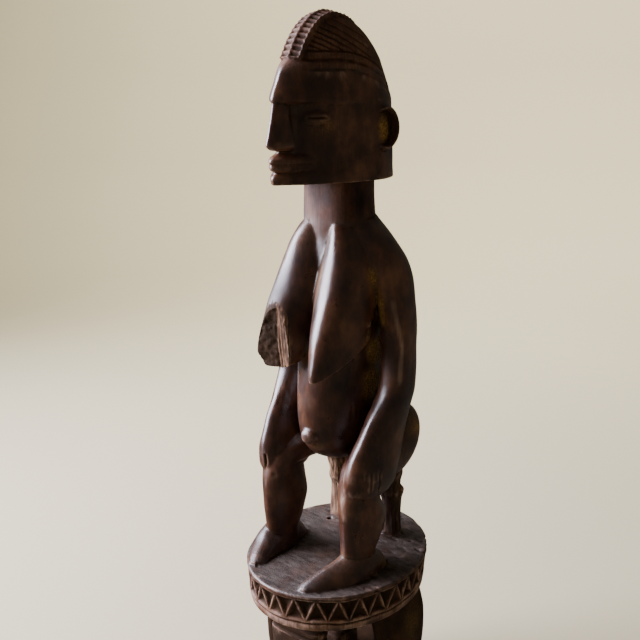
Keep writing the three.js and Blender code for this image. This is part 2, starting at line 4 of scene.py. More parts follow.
import bmesh
import bpy
import numpy as np
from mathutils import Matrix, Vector

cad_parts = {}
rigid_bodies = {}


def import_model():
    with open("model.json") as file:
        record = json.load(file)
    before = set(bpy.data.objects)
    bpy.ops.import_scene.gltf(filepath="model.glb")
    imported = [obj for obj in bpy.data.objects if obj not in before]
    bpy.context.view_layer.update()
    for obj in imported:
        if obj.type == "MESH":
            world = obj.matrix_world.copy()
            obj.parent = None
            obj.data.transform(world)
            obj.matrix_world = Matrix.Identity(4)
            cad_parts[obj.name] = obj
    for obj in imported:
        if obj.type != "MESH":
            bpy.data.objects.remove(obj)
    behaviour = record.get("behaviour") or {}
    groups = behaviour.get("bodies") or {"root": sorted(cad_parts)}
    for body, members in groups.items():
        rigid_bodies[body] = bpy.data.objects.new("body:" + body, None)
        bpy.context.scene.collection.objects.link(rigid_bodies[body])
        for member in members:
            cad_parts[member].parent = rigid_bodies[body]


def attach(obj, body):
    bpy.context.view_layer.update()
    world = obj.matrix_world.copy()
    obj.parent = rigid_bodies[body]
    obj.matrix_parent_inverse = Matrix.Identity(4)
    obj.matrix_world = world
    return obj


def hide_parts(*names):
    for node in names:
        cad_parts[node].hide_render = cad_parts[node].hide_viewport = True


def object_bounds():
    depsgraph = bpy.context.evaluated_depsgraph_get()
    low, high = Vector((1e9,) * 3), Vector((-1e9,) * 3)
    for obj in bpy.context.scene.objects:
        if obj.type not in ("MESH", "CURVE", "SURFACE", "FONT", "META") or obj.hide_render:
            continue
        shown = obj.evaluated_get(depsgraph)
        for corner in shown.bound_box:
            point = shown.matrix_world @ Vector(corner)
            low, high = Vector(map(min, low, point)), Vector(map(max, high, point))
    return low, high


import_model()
cad_low, cad_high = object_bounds()

# The figure is drawn in millimetres. Heights of the woman are above the top of the seat.
# She faces -Y, and her left side is +X.
SEAT_TOP = 162.0
SEAT_UNDER = -35.0
BASE_TOP = -136.0
SEAT_HALF_WIDTH = 78.0
SEAT_HALF_LENGTH = 93.4
FIGURE_PLACE = np.array([-3.8, -2.8, 0.0])
VOXEL = 0.9
MOST_TRIANGLES = 194000

# The camera's place in metres, its angles in degrees, its lens and film in millimetres
CAMERA_PLACE = (0.4419, -0.6073, 0.589)
CAMERA_DOWN = 15.6
CAMERA_TURN = 37.34
CAMERA_LENS = 50.625
CAMERA_FILM = 36

# The floor runs up into a bowl, open above its rim: radius and height of its rings, in metres
FLOOR_RINGS = ((1.6, 0), (1.85, 0.02), (2.1, 0.11), (2.3, 0.3), (2.42, 0.6), (2.5, 1.1), (2.55, 2.2))
FLOOR_CORNERS = 96
FLOOR_RIM = 2.1
FLOOR_COLOUR = (0.45, 0.4, 0.258, 1)
AIR_COLOUR = (0.95, 0.85, 0.72, 1)
AIR_STRENGTH = 0.14

# What a key of a form has where it says nothing else
PLAIN = {"x": 0, "y": 0, "wide": 10, "front": -10, "back": 10, "sharp": 2, "blunt": 2, "lean": 0}


# Camera, floor and light
def set_camera():
    bpy.ops.object.camera_add(location=CAMERA_PLACE)
    camera = bpy.context.object
    camera.name = "photo_camera"
    camera.rotation_euler = (math.radians(90 - CAMERA_DOWN), 0, math.radians(CAMERA_TURN))
    camera.data.lens = CAMERA_LENS
    camera.data.sensor_width = CAMERA_FILM
    bpy.context.scene.camera = camera


def soft_light(name, place, aim, wide, tall, power, colour, spread):
    bpy.ops.object.light_add(type="AREA", location=place)
    light = bpy.context.object
    light.name = name
    light.data.shape = "RECTANGLE"
    light.data.size = wide
    light.data.size_y = tall
    light.data.energy = power
    light.data.color = colour
    light.data.spread = math.radians(spread)
    light.rotation_euler = (Vector(aim) - Vector(place)).to_track_quat("-Z", "Y").to_euler()
    light.visible_camera = False


def set_lights():
    soft_light("window_light", place=(-1.24, -0.6, 0.94), aim=(0, 0, 0.36), wide=1.4, tall=1.2,
               power=92, colour=(0.84, 0.84, 1.0), spread=110)
    soft_light("backdrop_light", place=(-0.55, 1.2, 1.7), aim=(-1.05, 2.0, 0.0), wide=1.8, tall=1.2,
               power=60, colour=(1.0, 0.97, 0.92), spread=130)
    world = bpy.data.worlds.new("studio_air")
    world.use_nodes = True
    air = world.node_tree.nodes["Background"]
    air.inputs["Color"].default_value = AIR_COLOUR
    air.inputs["Strength"].default_value = AIR_STRENGTH
    bpy.context.scene.world = world


def draw_out(name, rings):
    """A closed skin: a filled circle brought to the first outline and extruded along the others."""
    bpy.ops.object.select_all(action="DESELECT")
    bpy.ops.mesh.primitive_circle_add(vertices=len(rings[0]), radius=1, fill_type="NGON")
    piece = bpy.context.object
    piece.name = name
    bpy.ops.object.mode_set(mode="EDIT")
    for turn, ring in enumerate(rings):
        if turn:
            bpy.ops.mesh.extrude_region_move()
        skin = bmesh.from_edit_mesh(piece.data)
        place = skin.verts.layers.int.get("place") or skin.verts.layers.int.new("place")
        if turn == 0:
            for number, corner in enumerate(skin.verts):
                corner[place] = number
        for corner in skin.verts:
            if corner.select:
                corner.co = Vector(ring[corner[place]]) / 1000
        bmesh.update_edit_mesh(piece.data)
    bpy.ops.mesh.select_all(action="SELECT")
    bpy.ops.mesh.normals_make_consistent(inside=False)
    bpy.ops.object.mode_set(mode="OBJECT")
    return piece


def make_floor():
    turn = np.arange(FLOOR_CORNERS) / FLOOR_CORNERS * 2 * math.pi
    rings = [np.c_[r * np.cos(turn), r * np.sin(turn), np.full(FLOOR_CORNERS, z)] * 1000
             for r, z in FLOOR_RINGS]
    floor = draw_out("pale_floor", rings)
    bpy.ops.object.mode_set(mode="EDIT")
    bpy.ops.mesh.select_mode(type="FACE")
    bpy.ops.mesh.select_all(action="DESELECT")
    skin = bmesh.from_edit_mesh(floor.data)
    for face in skin.faces:
        face.select = face.calc_center_median().z > FLOOR_RIM
    bmesh.update_edit_mesh(floor.data)
    bpy.ops.mesh.delete(type="FACE")
    bpy.ops.mesh.select_all(action="SELECT")
    bpy.ops.mesh.flip_normals()
    bpy.ops.mesh.select_mode(type="VERT")
    bpy.ops.object.mode_set(mode="OBJECT")
    bpy.ops.object.shade_smooth()
    coat = bpy.data.materials.new("pale_floor_paint")
    coat.use_nodes = True
    shader = coat.node_tree.nodes["Principled BSDF"]
    shader.inputs["Base Color"].default_value = FLOOR_COLOUR
    shader.inputs["Roughness"].default_value = 0.9
    floor.data.materials.append(coat)
    floor.visible_glossy = False


# Outlines along a form, on smooth curves through its keys. A key says how far along it is, where its
# middle is, how wide it is to each side, where its front and back are, how square it is in front
# (sharp) and behind (blunt; 2 is round, less is pointed), and how far its front leans sideways.
def section_at(keys, along):
    last = len(keys) - 2
    spans = (k for k in range(last + 1) if (along - keys[k]["at"]) * (along - keys[k + 1]["at"]) <= 0)
    i = next(spans, last)
    a, b = keys[i], keys[i + 1]
    before, after = keys[max(i - 1, 0)], keys[min(i + 2, len(keys) - 1)]
    step = b["at"] - a["at"]
    t = (along - a["at"]) / step
    section = {"at": along}
    for name, plain in PLAIN.items():
        v0, v1 = a.get(name, plain), b.get(name, plain)
        slope_in = (v1 - before.get(name, plain)) / (b["at"] - before["at"]) * step
        slope_out = (after.get(name, plain) - v0) / (after["at"] - a["at"]) * step
        section[name] = (v0 * (2 * t**3 - 3 * t**2 + 1) + slope_in * (t**3 - 2 * t**2 + t)
                         + v1 * (3 * t**2 - 2 * t**3) + slope_out * (t**3 - t**2))
    return section


def outline(section, angle):
    cos, sin = np.cos(angle), np.sin(angle)
    power = np.where(sin < 0, 2 / section["sharp"], 2 / section["blunt"])
    reach = np.where(sin < 0, section["y"] - section["front"], section["back"] - section["y"])
    depth = np.sign(sin) * np.abs(sin) ** power
    across = np.sign(cos) * np.abs(cos) ** power
    lean = np.where(depth < 0, -depth * section["lean"], 0)
    return section["x"] + lean + section["wide"] * across, section["y"] + reach * depth


def upward(x, depth, along):
    return np.stack([x, depth, np.full_like(x, SEAT_TOP + along)], axis=-1)


def forward(x, depth, along):
    return np.stack([x, np.full_like(x, along), SEAT_TOP + depth], axis=-1)


def limb(name, keys, around=64, step=2.4, place=upward, at=FIGURE_PLACE, sharp=None):
    """A form drawn out through its keys, with an outline at least every step millimetres."""
    turn = np.arange(around) / around * 2 * math.pi
    stations = [keys[0]["at"]]
    for a, b in zip(keys, keys[1:]):
        count = max(1, math.ceil(abs(b["at"] - a["at"]) / step))
        stations += [a["at"] + (b["at"] - a["at"]) * (k + 1) / count for k in range(count)]
    rings = []
    for along in stations:
        section = section_at(keys, along)
        section["sharp"] = sharp or section["sharp"]
        x, depth = outline(section, turn)
        rings.append(place(x, depth, along) + at)
    return draw_out(name, rings)


def on_side(side, keys):
    """The keys of a left form, or the same turned over for the right side."""
    return [{**key, "x": side * key.get("x", 0), "lean": side * key.get("lean", 0)} for key in keys]


def plane_cut(piece, spot, direction):
    """Cuts away what lies behind a plane and closes the cut."""
    bpy.ops.object.select_all(action="DESELECT")
    bpy.context.view_layer.objects.active = piece
    piece.select_set(True)
    bpy.ops.object.mode_set(mode="EDIT")
    bpy.ops.mesh.select_all(action="SELECT")
    spot = (np.array(spot) + FIGURE_PLACE + [0, 0, SEAT_TOP]) / 1000
    bpy.ops.mesh.bisect(plane_co=spot, plane_no=direction, use_fill=True, clear_inner=True)
    bpy.ops.object.mode_set(mode="OBJECT")


# Body
def torso():
    return limb("torso", [
        dict(at=91, y=12, wide=14, front=-5, back=30),
        dict(at=98, y=8, wide=20, front=-20, back=38),
        dict(at=108, y=4, wide=23.5, front=-31, back=42),
        dict(at=122, y=10, wide=29, front=-36, back=38, blunt=2.4),
        dict(at=145, y=15, wide=32.5, front=-38, back=38, blunt=2.8),
        dict(at=172, y=18, wide=34.5, front=-36, back=40, blunt=3),
        dict(at=200, y=16, wide=36.5, front=-32, back=40, blunt=3),
        dict(at=225, y=9, wide=40, front=-28, back=40, blunt=2.6),
        dict(at=255, y=8, wide=43, front=-26, back=40, blunt=2.2),
        dict(at=278, y=9, wide=38, front=-23.5, back=40),
        dict(at=292, y=9, wide=32, front=-20.5, back=39),
        dict(at=308, y=9, wide=29.5, front=-20, back=38, sharp=2.6),
        dict(at=326, y=9, wide=28, front=-19, back=37, sharp=3),
        dict(at=347, y=9, wide=28, front=-19, back=37, sharp=3),
    ], around=72)


def navel():
    return limb("navel", [
        dict(at=-41.2, y=121, wide=1.4, front=119.8, back=122.2),
        dict(at=-40.6, y=121, wide=4.4, front=117.2, back=124.8),
        dict(at=-38.4, y=121, wide=7, front=114.4, back=127.6),
        dict(at=-35, y=121, wide=8, front=113, back=129),
        dict(at=-31, y=121, wide=8, front=113, back=129),
    ], around=28, step=1, place=forward)


TIP_Y = -71
TIP_HEIGHT = 183
UNDER_SLOPE = math.atan2(222 - 5 - TIP_HEIGHT, 3 - TIP_Y)


def breast(side, drop, spread, round_ridge, lean):
    """Hangs from the shoulder to a tip. drop: how much lower it hangs; spread: how far out it ends."""
    fuller = drop / 4
    piece = limb("breast", on_side(side, [
        dict(at=172 - drop, x=27 + spread, y=-32, wide=9.5 + fuller, front=-64, back=-12, lean=lean / 9),
        dict(at=186 - drop, x=27 + spread, y=-28, wide=15 + fuller, front=-70.5, back=0, lean=lean / 5),
        dict(at=200 - drop, x=26 + spread, y=-22, wide=19.5, front=-68, back=0, lean=lean / 3),
        dict(at=215 - drop, x=23 + spread, y=-15, wide=23.5, front=-63, back=0, lean=lean * 0.6),
        dict(at=234, x=19, y=-8, wide=26, front=-54.5, back=10, lean=lean),
        dict(at=252, x=16, y=-2, wide=28, front=-45.5, back=10, lean=lean * 1.2),
        dict(at=270, x=15, y=0, wide=25, front=-37.5, back=10, lean=lean * 1.1),
        dict(at=286, x=15, y=0, wide=19, front=-31, back=10, lean=lean * 0.8),
        dict(at=298, x=14, y=0, wide=13.5, front=-25, back=10, lean=lean * 0.45),
        dict(at=308, x=12, y=2, wide=9, front=-16, back=10),
    ]), sharp=round_ridge)
    plane_cut(piece, (0, TIP_Y, TIP_HEIGHT - drop), (0, -math.sin(UNDER_SLOPE), math.cos(UNDER_SLOPE)))
    return piece


# The right breast's break: two broken faces that meet in an upright hollow
BREAK_SPOT = (-23, -48.5, 205)
BREAK_TURN = 0.15
BREAK_TILT = 0.16
VALLEY_LEAN = 0.07
WOOD_LEFT = 7


def broken_breast():
    """The right breast without its tip. A little wood is left on, to be carved off the whole block."""
    piece = breast(-1, drop=14, spread=3, round_ridge=2.0, lean=4)
    x, y, height = BREAK_SPOT
    plane_cut(piece, (x, y - WOOD_LEFT, height), (0, math.cos(BREAK_TILT), math.sin(BREAK_TILT)))
    corners = ((-37, 180, 0.42, 0.91), (-42.5, 187, 0.87, 0.5), (-19, 182, -0.42, 0.91))
    for across, low, sideways, up in corners:
        plane_cut(piece, (across, y, low), (sideways, 0.0, up))
    return piece


def valley_at(height):
    """How far across the two broken faces meet, at a height."""
    return BREAK_SPOT[0] + (height - BREAK_SPOT[2]) * VALLEY_LEAN


def broken_face(x, height):
    """Depth of the broken faces at a place across and a height."""
    return (BREAK_SPOT[1] - math.tan(BREAK_TURN) * np.abs(x - valley_at(height))
            - math.tan(BREAK_TILT) * (height - BREAK_SPOT[2]))


def arm(side):
    return limb("arm", on_side(side, [
        dict(at=73, x=46, y=-8, wide=12, front=-35, back=14, sharp=2.4, blunt=2.4),
        dict(at=80, x=46.5, y=-8, wide=15, front=-42, back=20, sharp=2.2, blunt=2.4),
        dict(at=90, x=47, y=-8, wide=16.5, front=-44, back=25),
        dict(at=100, x=47.5, y=-6, wide=16.5, front=-42.5, back=28),
        dict(at=112, x=48.5, y=-3, wide=15.5, front=-38, back=30, sharp=1.8),
        dict(at=125, x=50.5, y=1, wide=14, front=-30, back=32, sharp=1.8),
        dict(at=142, x=52, y=8, wide=14, front=-18, back=35, sharp=1.8),
        dict(at=160, x=54, y=16, wide=14, front=-4, back=38, sharp=2.1, lean=1),
        dict(at=178, x=55, y=18, wide=14, front=0, back=38, sharp=2.6, lean=2),
        dict(at=200, x=55, y=18, wide=14, front=1, back=37, sharp=2.8, lean=2),
        dict(at=222, x=54, y=18, wide=14.5, front=-1, back=37, sharp=2.6, lean=2),
        dict(at=245, x=50, y=18, wide=16, front=-4, back=38, sharp=2.1, lean=2),
        dict(at=262, x=45, y=18, wide=18, front=-6, back=38, sharp=1.8),
        dict(at=275, x=38, y=17, wide=20, front=-8, back=37, sharp=1.9),
        dict(at=286, x=29, y=15, wide=21.5, front=-10, back=36),
        dict(at=297, x=20, y=13, wide=21, front=-12, back=35),
        dict(at=308, x=12, y=11, wide=17, front=-12, back=34),
    ]))


def thigh(side):
    return limb("thigh", on_side(side, [
        dict(at=71, x=32, y=114, wide=9, front=104, back=124),
        dict(at=65, x=32, y=112, wide=18, front=92, back=131),
        dict(at=53, x=32, y=108, wide=25, front=77, back=134),
        dict(at=38, x=32, y=103, wide=26, front=67, back=130),
        dict(at=20, x=34, y=99, wide=22, front=78, back=117),
        dict(at=0, x=37, y=96, wide=19, front=80, back=111),
        dict(at=-16, x=40, y=92, wide=17, front=77, back=107),
        dict(at=-28, x=42, y=87, wide=14.5, front=72, back=101),
        dict(at=-37, x=42, y=84, wide=8, front=75, back=94),
    ]), place=forward)


def lower_leg(side, calf, shin):
    """calf, shin: how much fuller the leg is behind and in front."""
    return limb("lower_leg", on_side(side, [
        dict(at=-3, x=42, y=-20, wide=13.5, front=-39, back=-5),
        dict(at=16, x=42, y=-21, wide=13.5, front=-40 - shin / 2, back=-6 + calf / 3, sharp=1.7),
        dict(at=34, x=42, y=-17, wide=16, front=-41 - shin, back=calf, sharp=1.7),
        dict(at=50, x=42, y=-15, wide=18, front=-42 - shin, back=4 + calf, sharp=1.7),
        dict(at=66, x=42, y=-17, wide=17, front=-43 - shin, back=2, sharp=1.8),
        dict(at=80, x=42, y=-19, wide=16, front=-41 - shin / 2, back=0),
        dict(at=94, x=42, y=-20, wide=13, front=-36, back=-3),
        dict(at=101, x=42, y=-18, wide=8, front=-27, back=-8),
    ]))


def foot(side, heel_x, toe_x, toe_y):
    return limb("foot", on_side(side, [
        dict(at=7, x=heel_x, wide=7, front=-4, back=5),
        dict(at=3, x=heel_x, wide=12, front=-4, back=11),
        dict(at=-9, x=heel_x, wide=15, front=-4, back=20),
        dict(at=-28, x=heel_x - 1, wide=16, front=-4, back=26, blunt=1.7),
        dict(at=-44, x=(heel_x + toe_x) / 2 + 4, wide=15, front=-4, back=18.5, blunt=1.6),
        dict(at=toe_y + 19, x=toe_x + 6, wide=12.5, front=-4, back=12, blunt=1.6),
        dict(at=toe_y + 7, x=toe_x + 2, wide=9, front=-4, back=7, blunt=1.7),
        dict(at=toe_y, x=toe_x, wide=4, front=-4, back=3),
    ]), around=48, step=2, place=forward)


POST_X = 29
POST_Y = 54


def post(side, neck):
    """Rough leg of the low stool under the figure. neck: how much narrower it is half way up."""
    return limb("post", on_side(side, [
        dict(at=-3, x=POST_X, y=POST_Y, wide=11, front=POST_Y - 10, back=POST_Y + 9, sharp=3),
        dict(at=12, x=POST_X, y=POST_Y, wide=11.5 - neck, front=POST_Y - 9, back=POST_Y + 9, sharp=3),
        dict(at=34, x=POST_X, y=POST_Y - 1, wide=11.5 - neck, front=POST_Y - 10, back=POST_Y + 8,
             blunt=3),
        dict(at=45, x=POST_X, y=POST_Y - 2, wide=12, front=POST_Y - 14, back=POST_Y + 9, blunt=3),
        dict(at=52, x=POST_X - 1, y=POST_Y - 3, wide=11, front=POST_Y - 15, back=POST_Y + 6),
        dict(at=66, x=POST_X, y=POST_Y - 5, wide=13, front=POST_Y - 17, back=POST_Y + 6),
        dict(at=80, x=POST_X, y=POST_Y - 8, wide=13, front=POST_Y - 18, back=POST_Y + 1),
    ]), around=48)


# Head and hair
HEAD = [
    dict(at=341, y=4, wide=44, front=-79, back=52, sharp=1.3, blunt=2.1),
    dict(at=347, y=4, wide=44, front=-80, back=51, sharp=1.3, blunt=2.1),
    dict(at=352, y=4, wide=44, front=-74, back=50, sharp=1.3, blunt=2.1),
    dict(at=376, y=4, wide=43.5, front=-72, back=49, sharp=1.3, blunt=2.1),
    dict(at=401, y=4, wide=42.5, front=-72, back=48, sharp=1.32, blunt=2.1),
    dict(at=403.5, y=4, wide=42.5, front=-79.5, back=47.5, sharp=1.36, blunt=2.1),
    dict(at=418, y=4, wide=39, front=-73, back=42.5, sharp=1.42, blunt=2.05),
    dict(at=428, y=3, wide=36, front=-67.5, back=39.5, sharp=1.48, blunt=2),
    dict(at=435, y=3, wide=33.5, front=-59, back=37.5, sharp=1.65, blunt=2),
    dict(at=447, y=1, wide=27.5, front=-51, back=31, sharp=1.75, blunt=2),
    dict(at=457, y=-3, wide=20, front=-42, back=24, sharp=1.85, blunt=2),
    dict(at=465, y=-7, wide=11.5, front=-31, back=14, sharp=1.9, blunt=2),
    dict(at=469, y=-11, wide=4, front=-22, back=3, sharp=2, blunt=2),
]
CROWN = 473
HAIR_EDGE = 434
HAIR_FOOT = 424
NECK_FOOT = 300
NECK_TOP = 346
CREST_HALF_WIDTH = 11
BEAD_LENGTH = 5.2


def head_spot(side, depth, height):
    """A place on the side of the head, and the way that the head faces there."""
    section = section_at(HEAD, height)
    front = depth < section["y"]
    reach = section["front"] - section["y"] if front else section["back"] - section["y"]
    share = min(max((depth - section["y"]) / reach, 0), 1)
    power = (section["sharp"] if front else section["blunt"]) / 2
    angle = (-1 if front else 1) * math.asin(share**power)

    def spot(turn, at):
        x, y = outline(section_at(HEAD, at), np.array(turn))
        return np.array([side * float(x), float(y), SEAT_TOP + at])

    around = spot(angle + 0.02, height) - spot(angle - 0.02, height)
    up = spot(angle, height + 1) - spot(angle, height - 1)
    out = np.cross(around, up) * side
    return spot(angle, height) + FIGURE_PLACE, out / np.linalg.norm(out)


def crest():
    """Two rows of beads between three ridges, over the crown from the brow to the back."""
    heights = np.linspace(HAIR_EDGE + 1, CROWN - 7, 8)
    spine = [(section_at(HEAD, h)["front"], h) for h in heights] + [(-13, CROWN - 3.5)]
    spine += [(section_at(HEAD, h)["back"] - 0.5, h) for h in (CROWN - 8, CROWN - 13, CROWN - 18)]
    line = smooth_route([(0, y, h) for y, h in spine], 0.7)[:, 1:]
    ahead = np.gradient(line, axis=0)
    ahead /= np.linalg.norm(ahead, axis=1)[:, None]
    length = np.linalg.norm(np.diff(line, axis=0), axis=1).sum()
    across = np.linspace(-1, 1, 61)
    fall = np.interp(np.abs(across), (0, 0.45, 0.88, 1), (0, -0.9, -2.2, -8))
    ridge = np.exp(-(((np.abs(across) - 0.86) / 0.14) ** 4)) + np.exp(-((across / 0.15) ** 4))
    rings = []
    for i, (spot, way) in enumerate(zip(line, ahead)):
        share = i / (len(line) - 1)
        fade = min(1, (1 - share) / 0.3 + 0.1)
        beat = 0.5 + 0.5 * math.cos(2 * math.pi * share * length / BEAD_LENGTH)
        rung = np.where(np.abs(across) < 0.86, 0.8 * beat**0.8, 0)
        lift = 3.4 * fade * (np.maximum(ridge * (0.72 + 0.28 * beat), rung) - 0.12) + fall
        rings.append(np.stack([across * CREST_HALF_WIDTH * (0.6 + 0.4 * fade), spot[0] - way[1] * lift,
                               SEAT_TOP + spot[1] + way[0] * lift], axis=-1) + FIGURE_PLACE)
    return draw_out("crest", rings)


def smooth_route(points, step):
    """Points every step millimetres along a smooth curve through the given ones."""
    points = np.array(points, float)
    fine = []
    for i in range(len(points) - 1):
        p0, p1, p2, p3 = (points[min(max(k, 0), len(points) - 1)] for k in (i - 1, i, i + 1, i + 2))
        t = np.linspace(0, 1, 40, endpoint=i == len(points) - 2)[:, None]
        fine.append(0.5 * (2 * p1 + (p2 - p0) * t + (2 * p0 - 5 * p1 + 4 * p2 - p3) * t**2
                           + (3 * p1 - p0 - 3 * p2 + p3) * t**3))
    fine = np.concatenate(fine)
    run = np.r_[0, np.cumsum(np.linalg.norm(np.diff(fine, axis=0), axis=1))]
    stops = np.linspace(0, run[-1], max(2, int(run[-1] / step) + 1))
    return np.stack([np.interp(stops, run, fine[:, k]) for k in range(fine.shape[1])], axis=1)


EAR_PLACE = (42, 8, 382)
EAR_HALF_DEPTH = 11
EAR_HALF_HEIGHT = 15.5
EAR_GAP = 0.85
EAR_TURN = 0.35
EAR_CORNERS = 24


def ear(side):
    """A raised rim, open towards the face, that stands out from the head and leans back."""
    rings = []
    for angle in np.linspace(EAR_GAP - math.pi, math.pi - EAR_GAP, 40):
        taper = min(1, (math.pi - 0.75 - abs(angle)) / 0.7) ** 0.5
        around = np.arange(EAR_CORNERS) / EAR_CORNERS * 2 * math.pi
        thick = 2.2 * taper * np.cos(around)
        out = 6.4 * taper * np.sin(around)
        depth = (EAR_HALF_DEPTH + thick) * math.cos(angle)
        height = (EAR_HALF_HEIGHT + thick) * math.sin(angle)
        x = EAR_PLACE[0] + (out * math.cos(EAR_TURN) + depth * math.sin(EAR_TURN))
        y = EAR_PLACE[1] + (-out * math.sin(EAR_TURN) + depth * math.cos(EAR_TURN))
        z = SEAT_TOP + EAR_PLACE[2] + height
        rings.append(np.stack([side * x, y, z], axis=-1) + FIGURE_PLACE)
    return draw_out("ear", rings)


# Face: a plain long nose, lidded eyes and a straight mouth, on even thirds of brow, nose and jaw
def nose():
    return limb("nose", [
        dict(at=367, y=-66, wide=8, front=-79, back=-58, sharp=1.8),
        dict(at=370, y=-66, wide=10, front=-86, back=-58, sharp=1.5),
        dict(at=378, y=-66, wide=8.5, front=-84.5, back=-58, sharp=1.6),
        dict(at=391, y=-66, wide=6.5, front=-81, back=-58, sharp=1.7),
        dict(at=404, y=-66, wide=6.5, front=-78, back=-58, sharp=1.7),
    ], around=40, step=1.5)


def mouth():
    return limb("mouth", [
        dict(at=350, y=-48, wide=17, front=-74, back=-40, sharp=1.3),
        dict(at=352, y=-48, wide=19.5, front=-80, back=-40, sharp=1.35),
        dict(at=356, y=-48, wide=20, front=-81.5, back=-40, sharp=1.35),
        dict(at=357, y=-48, wide=18.5, front=-77.5, back=-40, sharp=1.3),
        dict(at=358, y=-48, wide=20, front=-82, back=-40, sharp=1.35),
        dict(at=361.5, y=-48, wide=19.5, front=-80.5, back=-40, sharp=1.35),
        dict(at=364, y=-48, wide=17, front=-74, back=-40, sharp=1.3),
    ], around=40, step=0.6)


EYE_DEPTH = -50
EYE_HEIGHT = 391
EYE_HALF_WIDTH = 11


def eye_frame(side):
    """The middle of an eye, the way along its lid, and the way out."""
    spot, out = head_spot(side, EYE_DEPTH, EYE_HEIGHT)
    along = np.cross([0, 0, 1], out)
    return spot, along / np.linalg.norm(along), out


def eye(side):
    spot, along, out = eye_frame(side)
    bpy.ops.object.select_all(action="DESELECT")
    bpy.ops.mesh.primitive_uv_sphere_add(segments=32, ring_count=20, radius=1)
    lid = bpy.context.object
    lid.name = "eye"
    for corner in lid.data.vertices:
        x, y, z = corner.co
        ball = along * x * EYE_HALF_WIDTH + out * y * 3 + np.cross(along, out) * z * 5
        corner.co = Vector((spot + ball) / 1000)
    return lid


# Stool
OVAL_CORNERS = 160


def oval(name, half_width, half_length, profile):
    """An oval disc. profile: its share of the full size, and the height, from the bottom up."""
    turn = np.arange(OVAL_CORNERS) / OVAL_CORNERS * 2 * math.pi
    rings = []
    for share, at in profile:
        x, y = half_width * share * np.cos(turn), half_length * share * np.sin(turn)
        rings.append(np.stack([x, y, np.full(OVAL_CORNERS, SEAT_TOP + at)], axis=-1))
    return draw_out(name, rings)


def seat():
    return oval("seat", SEAT_HALF_WIDTH, SEAT_HALF_LENGTH, [
        (0.95, SEAT_UNDER), (0.96, SEAT_UNDER + 1), (0.972, -26.5), (0.974, -20), (0.99, -4.5), (1, -2),
        (0.993, -0.6), (0.985, 0),
    ])


def base():
    return oval("base", 74, 89.5, [
        (0.992, BASE_TOP - 26), (1, BASE_TOP - 25), (0.992, BASE_TOP - 3), (0.98, BASE_TOP - 0.8),
        (0.965, BASE_TOP),
    ])


def support(name, x, y, keys):
    """An upright under the seat. bow: how far out it stands at a height, as a share of its place."""
    return limb(name, [dict(at=at, x=x * bow, y=y * bow, wide=wide, front=y * bow - deep,
                            back=y * bow + deep, sharp=3, blunt=3) for at, bow, wide, deep in keys],
                step=1.2, at=0)


def front_support():
    return support("front_support", -1.5, -53, [
        (BASE_TOP - 3, 1, 33, 12), (BASE_TOP + 14, 1.02, 30, 10), (-90, 1.06, 28, 10),
        (-61.5, 1.06, 29, 10.5), (-59, 1.06, 27.6, 9.2), (-56.5, 1.06, 29, 10.5),
        (-52.5, 1.06, 29, 10.5), (-50, 1.06, 27.6, 9.2), (-47.5, 1.06, 29, 10.5),
        (SEAT_UNDER + 4, 1, 31, 12),
    ])


def side_support(side):
    return support("side_support", side * 60.5, 9, [
        (BASE_TOP - 3, 0.88, 11, 35), (BASE_TOP + 16, 0.98, 9.5, 35.5), (-84, 1.05, 9, 35.5),
        (-56, 1.03, 9.5, 36), (SEAT_UNDER + 4, 0.9, 11, 36),
    ])


def middle_block():
    return limb("middle_block", [
        dict(at=BASE_TOP - 3, wide=20, front=-21, back=21, sharp=2.6, blunt=2.6),
        dict(at=-96, wide=17, front=-18, back=18, sharp=2.6, blunt=2.6),
        dict(at=-87, wide=15.5, front=-16.5, back=16.5, sharp=2.6, blunt=2.6),
        dict(at=-82, wide=10, front=-11, back=11, sharp=2.4, blunt=2.4),
    ], at=0)


# Carving on the joined block. Corners and directions are arrays, in millimetres.
def apply_modifier(piece, kind, **settings):
    bpy.ops.object.select_all(action="DESELECT")
    piece.select_set(True)
    bpy.context.view_layer.objects.active = piece
    modifier = piece.modifiers.new(kind.lower(), kind)
    for name, value in settings.items():
        setattr(modifier, name, value)
    bpy.ops.object.modifier_apply(modifier=modifier.name)


def corners_of(piece):
    spots = np.empty(len(piece.data.vertices) * 3, np.float32)
    piece.data.vertices.foreach_get("co", spots)
    return spots.reshape(-1, 3).astype(float) * 1000


def facings_of(piece):
    ways = np.empty(len(piece.data.vertices) * 3, np.float32)
    piece.data.vertex_normals.foreach_get("vector", ways)
    return ways.reshape(-1, 3).astype(float)


def move_corners(piece, spots):
    piece.data.vertices.foreach_set("co", (spots / 1000).astype(np.float32).ravel())
    piece.data.update()


def links_of(piece):
    links = np.empty(len(piece.data.edges) * 2, np.int32)
    piece.data.edges.foreach_get("vertices", links)
    return links.reshape(-1, 2)


def evened(spots, links, times, share):
    """Corners moved part of the way to the middle of their neighbours, times over."""
    count = len(spots)
    first, second = links.T
    around = np.bincount(first, minlength=count) + np.bincount(second, minlength=count)
    for _ in range(times):
        total = np.stack([np.bincount(first, spots[second, k], count)
                          + np.bincount(second, spots[first, k], count) for k in range(3)], axis=1)
        spots = spots + share * (total / around[:, None] - spots)
    return spots


def own_places(spots):
    """Places measured as on the woman: from her own middle, and up from the top of the seat."""
    return spots - FIGURE_PLACE - [0, 0, SEAT_TOP]


